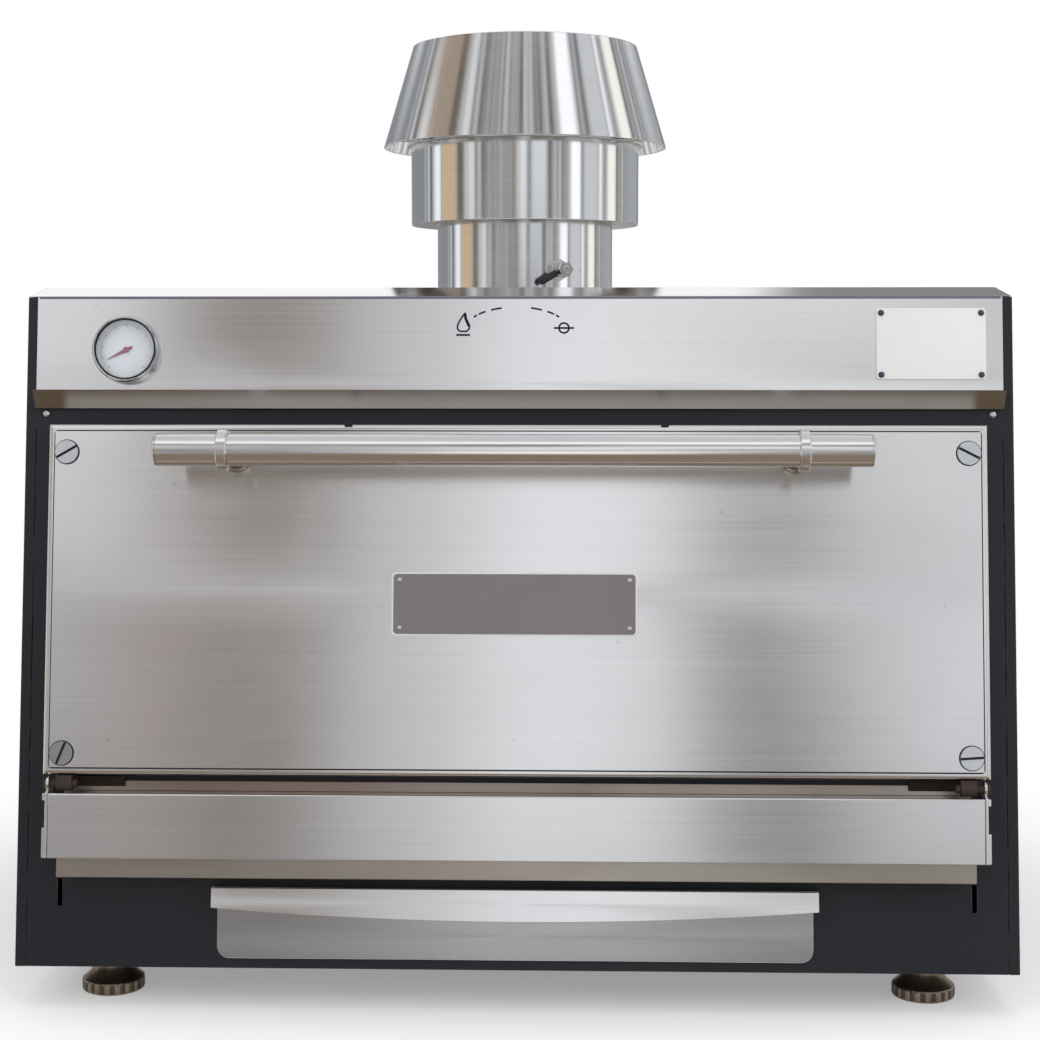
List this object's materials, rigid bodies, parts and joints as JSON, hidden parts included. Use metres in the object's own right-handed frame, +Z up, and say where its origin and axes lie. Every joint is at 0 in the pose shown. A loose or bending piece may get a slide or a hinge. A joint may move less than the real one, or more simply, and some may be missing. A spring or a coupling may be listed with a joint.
{
  "type": "charcoal oven",
  "caption": "Insulated charcoal oven with a leaning front, drop-down door, ash drawer, sliding grids, damper, firebreak and flue hat, on levelling feet.",
  "frame": {"origin": "on the floor, below the middle of the oven's whole reach from side to side and from front to back", "axes": "+Z up, the door faces -Y, +X is to the right of someone facing the door"},
  "size_m": [0.91, 0.7436, 0.9153],
  "materials": {
    "painted_black": "satin charcoal-black powder coat",
    "brushed_steel": "stainless steel, brushed from side to side",
    "polished_steel": "stainless steel, finely polished",
    "galvanised": "plain mill-finish steel sheet",
    "cast_iron": "raw casting",
    "sooty_steel": "steel darkened by heat and smoke",
    "fibre": "ceramic fibre blanket",
    "rope": "braided sealing rope",
    "badge_grey": "grey-brown enamel, satin",
    "notice_white": "pale enamel, satin",
    "dial_white": "printed matt white",
    "pointer_red": "matt red-purple",
    "lever_black": "satin black",
    "clear_glass": "clear"
  },
  "bodies": {
    "cabinet": {"side_panel_left": "painted_black", "side_panel_right": "painted_black", "back_panel": "painted_black", "base_plate": "painted_black", "front_frame": "painted_black", "top_lid": "brushed_steel", "fascia": "brushed_steel", "front_ledge": "brushed_steel", "ledge_under_strip": "brushed_steel", "hinge_bracket_left": "brushed_steel", "hinge_bracket_right": "brushed_steel", "hinge_pin_left": "polished_steel", "hinge_pin_right": "polished_steel", "notice_plate": "notice_white", "gauge_case": "polished_steel", "gauge_dial": "dial_white", "gauge_lens": "clear_glass", "oven_liner": "sooty_steel", "insulation_blanket": "fibre", "fire_grate_left": "cast_iron", "fire_grate_right": "cast_iron", "rack_rail_left": "sooty_steel", "rack_rail_right": "sooty_steel", "drawer_runner_left": "galvanised", "drawer_runner_right": "galvanised", "flue_spigot": "galvanised", "flue_pipe": "polished_steel", "firebreak_drum": "polished_steel", "spark_arrestor": "galvanised", "flue_hat": "polished_steel", "damper_boss": "polished_steel"},
    "door": {"door_knuckle_left": "brushed_steel", "door_knuckle_right": "brushed_steel", "door_pan": "brushed_steel", "door_skin": "brushed_steel", "door_insulation": "fibre", "door_inner_panel": "sooty_steel", "door_gasket": "rope", "door_screw_1": "polished_steel", "door_screw_2": "polished_steel", "door_screw_3": "polished_steel", "door_screw_4": "polished_steel", "handle_tube": "polished_steel", "handle_cap_left": "polished_steel", "handle_cap_right": "polished_steel", "handle_post_left": "polished_steel", "handle_post_right": "polished_steel", "badge_plate": "badge_grey"},
    "ash_drawer": {"ash_drawer_front": "brushed_steel", "ash_drawer_tray": "galvanised"},
    "lower_grid": {"cooking_grid_lower": "sooty_steel"},
    "upper_grid": {"cooking_grid_upper": "sooty_steel"},
    "damper": {"damper_shaft": "galvanised", "damper_plate": "sooty_steel", "damper_lever": "lever_black"},
    "thermometer_pointer": {"gauge_pointer": "pointer_red"},
    "front_left_foot": {"foot_front_left": "polished_steel"},
    "front_right_foot": {"foot_front_right": "polished_steel"},
    "rear_left_foot": {"foot_rear_left": "polished_steel"},
    "rear_right_foot": {"foot_rear_right": "polished_steel"}
  },
  "joints": [
    {"name": "door_hinge", "type": "hinge", "parent": "cabinet", "child": "door", "pos_m": [0, -0.3225, 0.21078], "axis": [1, 0, 0], "range_deg": [0, 97]},
    {"name": "ash_drawer_slide", "type": "slide", "parent": "cabinet", "child": "ash_drawer", "axis": [0, -1, 0], "range_m": [0, 0.42]},
    {"name": "lower_grid_slide", "type": "slide", "parent": "cabinet", "child": "lower_grid", "axis": [0, -1, 0], "range_m": [0, 0.08]},
    {"name": "upper_grid_slide", "type": "slide", "parent": "cabinet", "child": "upper_grid", "axis": [0, -1, 0], "range_m": [0, 0.08]},
    {"name": "damper_turn", "type": "hinge", "parent": "cabinet", "child": "damper", "pos_m": [0, 0.06313, 0.67932], "axis": [-0.3746, 0.9272, 0], "range_deg": [0, 90]},
    {"name": "pointer_turn", "type": "hinge", "parent": "cabinet", "child": "thermometer_pointer", "pos_m": [-0.361, -0.23668, 0.59924], "axis": [0, -0.9877, 0.1564], "range_deg": [-252, 18]},
    {"name": "front_left_foot_screw", "type": "slide", "parent": "cabinet", "child": "front_left_foot", "axis": [0, 0, -1], "range_m": [0, 0.02]},
    {"name": "front_right_foot_screw", "type": "slide", "parent": "cabinet", "child": "front_right_foot", "axis": [0, 0, -1], "range_m": [0, 0.02]},
    {"name": "rear_left_foot_screw", "type": "slide", "parent": "cabinet", "child": "rear_left_foot", "axis": [0, 0, -1], "range_m": [0, 0.02]},
    {"name": "rear_right_foot_screw", "type": "slide", "parent": "cabinet", "child": "rear_right_foot", "axis": [0, 0, -1], "range_m": [0, 0.02]}
  ]
}
